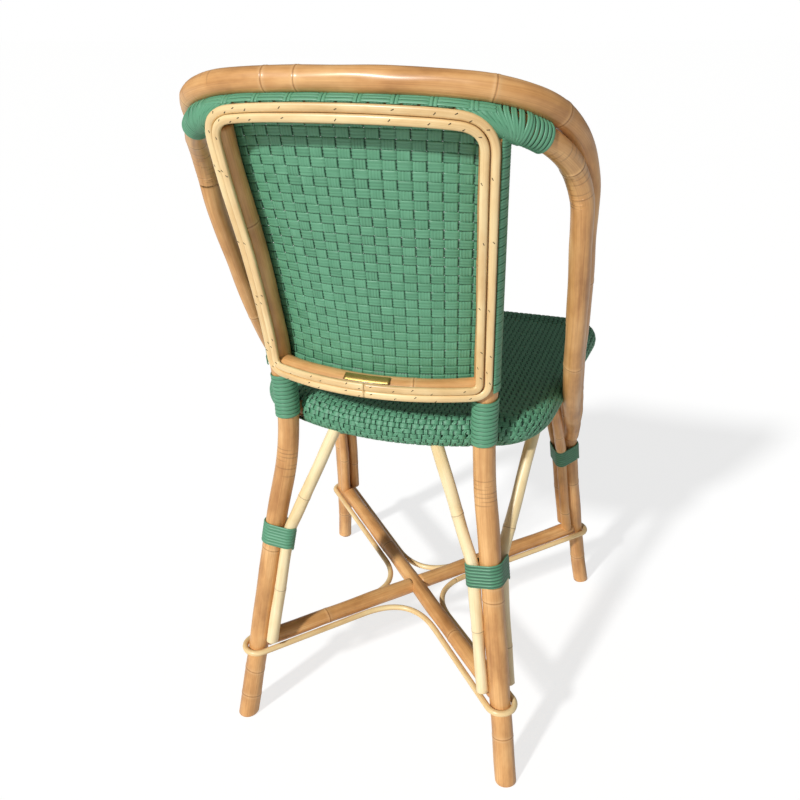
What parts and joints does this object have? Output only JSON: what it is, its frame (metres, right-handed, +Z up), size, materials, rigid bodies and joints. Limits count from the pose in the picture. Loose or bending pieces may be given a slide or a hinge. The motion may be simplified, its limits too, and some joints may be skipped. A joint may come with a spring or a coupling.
{
  "type": "rattan bistro armchair",
  "caption": "Armchair of bent rattan poles with woven seat and back, doubled arm hoop, splayed braced legs and crossed stretchers.",
  "frame": {"origin": "on the floor under the centre of the bounding box", "axes": "+Z up, -Y towards the front of the seat, +X towards the sitter's left"},
  "size_m": [0.4716, 0.5402, 0.8552],
  "materials": {
    "rattan_pole": "clear varnish over bent rattan",
    "pale_rattan": "clear varnish over pale rattan",
    "pale_strip": "split rattan, varnished",
    "green_weave": "ribbed woven strand, satin",
    "green_cord": "round cord wound tight, satin",
    "plate": "plain, dull"
  },
  "bodies": {
    "root": {"rear_leg_left": "rattan_pole", "rear_leg_right": "rattan_pole", "front_leg_left": "rattan_pole", "front_leg_right": "rattan_pole", "inner_hoop": "rattan_pole", "outer_hoop": "rattan_pole", "back_bottom_rail": "rattan_pole", "trim_strip_outer": "pale_strip", "trim_strip_inner": "pale_strip", "back_weave": "green_weave", "post_winding_left": "green_cord", "post_winding_right": "green_cord", "hoop_binding_left": "green_cord", "hoop_binding_right": "green_cord", "corner_wrap_left": "green_cord", "corner_wrap_right": "green_cord", "seat_frame": "rattan_pole", "seat_strip_front": "pale_strip", "seat_strip_rear": "pale_strip", "seat_weave": "green_weave", "brace_rear_inner_left": "pale_rattan", "brace_rear_inner_right": "pale_rattan", "brace_rear_side_left": "pale_rattan", "brace_rear_side_right": "pale_rattan", "brace_front_inner_left": "rattan_pole", "brace_front_inner_right": "rattan_pole", "brace_front_side_left": "rattan_pole", "brace_front_side_right": "rattan_pole", "leg_binding_rear_left": "green_cord", "leg_binding_rear_right": "green_cord", "leg_binding_front_left": "green_cord", "leg_binding_front_right": "green_cord", "stretcher_whole": "rattan_pole", "stretcher_half_rear": "rattan_pole", "stretcher_half_front": "rattan_pole", "loop_strip_front": "pale_strip", "loop_strip_rear": "pale_strip", "blank_plate": "plate"}
  },
  "joints": []
}
